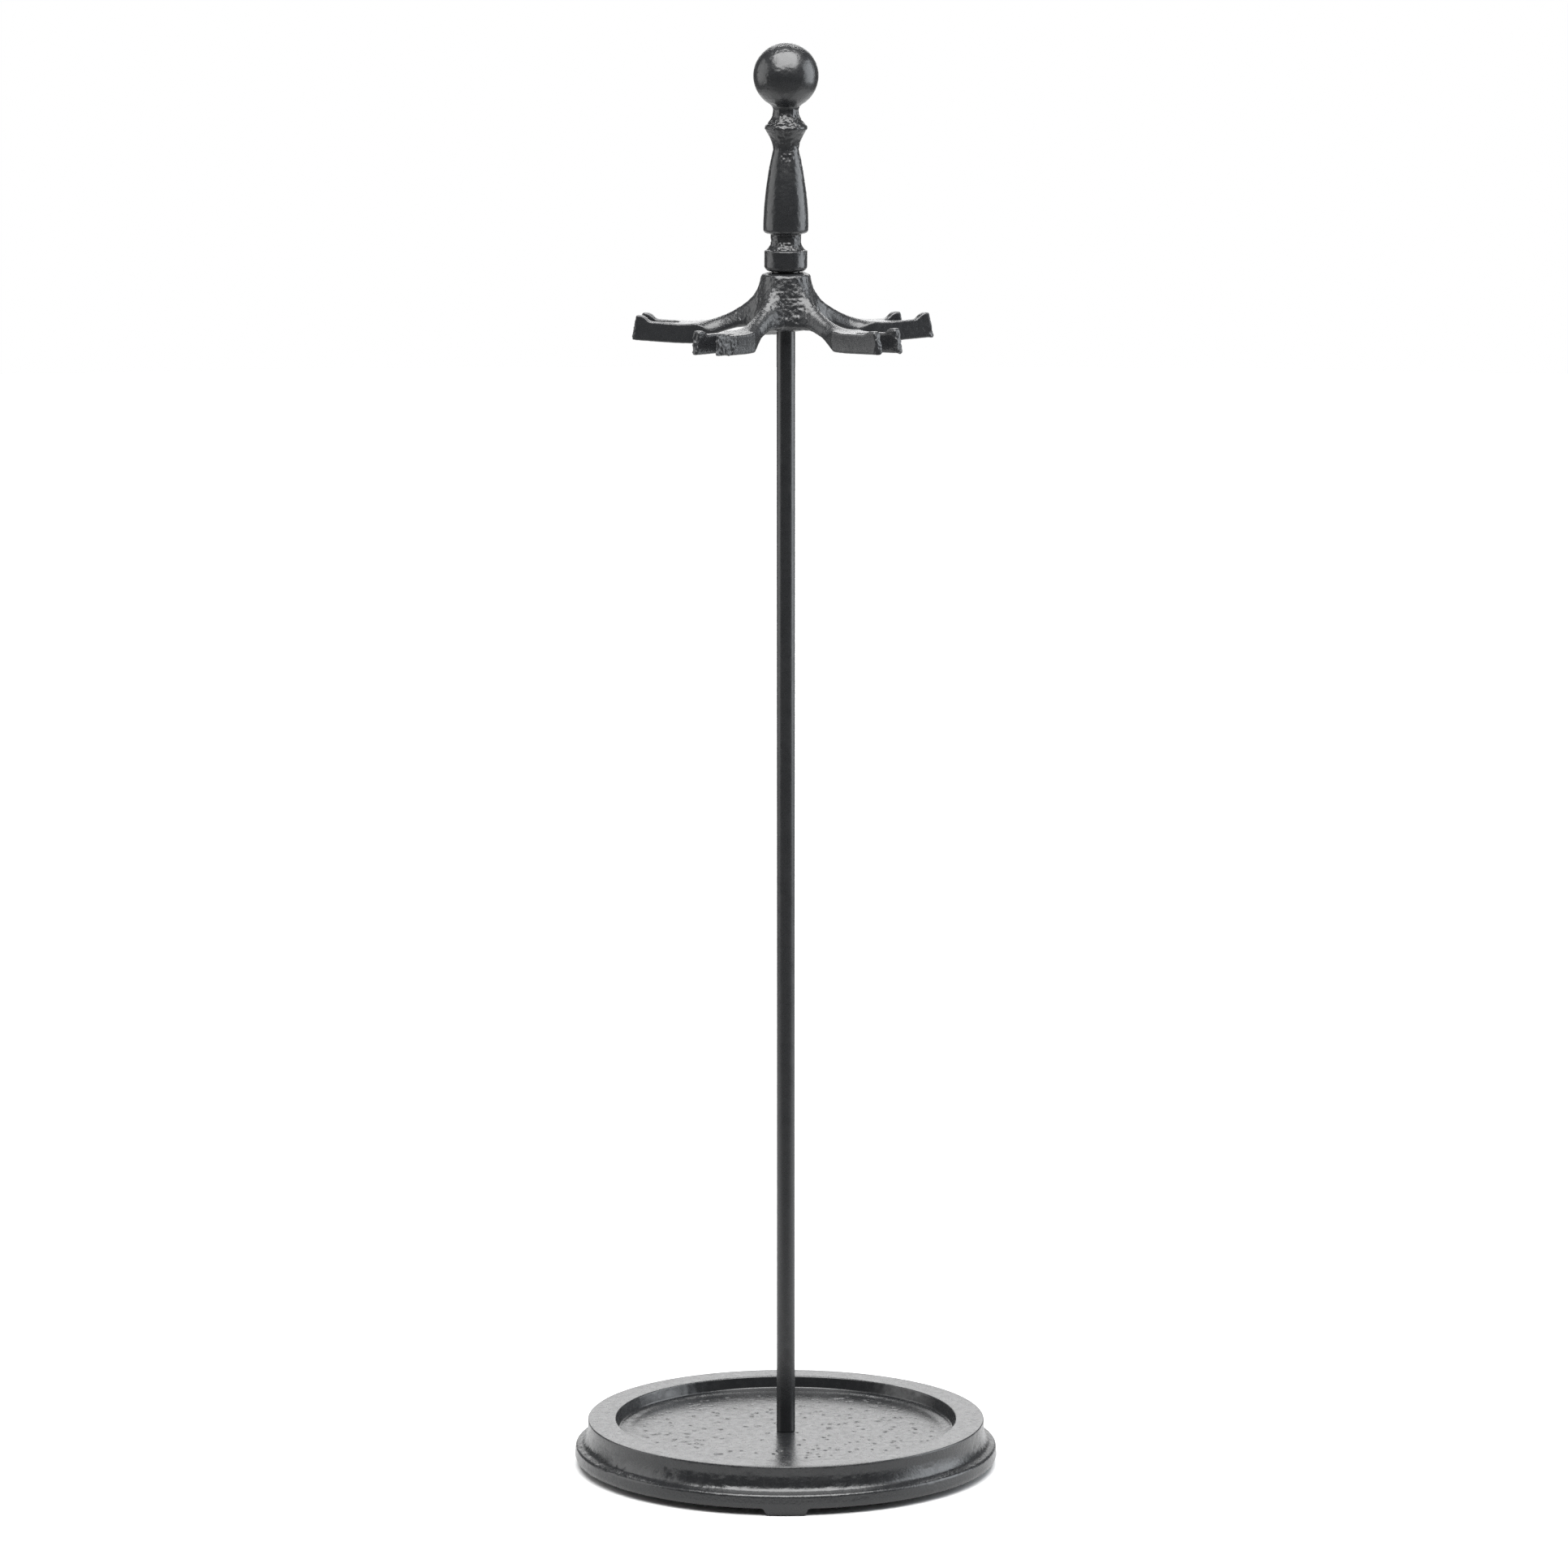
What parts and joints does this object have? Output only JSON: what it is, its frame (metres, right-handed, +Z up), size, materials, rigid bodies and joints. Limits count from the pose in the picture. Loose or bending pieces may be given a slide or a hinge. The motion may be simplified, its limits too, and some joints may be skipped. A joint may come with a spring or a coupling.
{
  "type": "fireside tool stand",
  "caption": "Fireside tool stand: heavy round cast base with a tray, slim upright rod, forked hanger arms and a baluster handle topped by a ball.",
  "frame": {"origin": "on the floor, on the rod's axis, in the plane of the three feet", "axes": "+Z up along the rod, -Y towards the front foot, +X to the right seen from the front"},
  "size_m": [0.1846, 0.1846, 0.6207],
  "materials": {
    "black_casting": "satin black stove paint over sand-cast iron, with a fine granular skin",
    "black_rod": "smooth satin black paint on drawn steel",
    "zinc_steel": "bright zinc plate"
  },
  "bodies": {
    "stand": {"base": "black_casting", "rod": "black_rod", "base_washer": "zinc_steel", "lock_washer": "zinc_steel", "base_nut": "zinc_steel"},
    "hanger": {"hanger": "black_casting"},
    "top_washer": {"top_washer": "black_rod"},
    "handle": {"handle": "black_casting"}
  },
  "joints": [
    {"name": "hanger_swivel", "type": "hinge", "parent": "stand", "child": "hanger", "pos_m": [0, 0, 0.51], "axis": [0, 0, 1], "continuous": true},
    {"name": "handle_unscrew", "type": "hinge", "parent": "stand", "child": "top_washer", "pos_m": [0, 0, 0.53], "axis": [0, 0, 1], "range_deg": [0, 4320]},
    {"name": "handle_rise", "type": "slide", "parent": "top_washer", "child": "handle", "axis": [0, 0, 1], "range_m": [0, 0.012]}
  ],
  "couplings": [
    {"joint": "handle_rise", "follows": "handle_unscrew", "m_per_rad": 0.00015915}
  ]
}
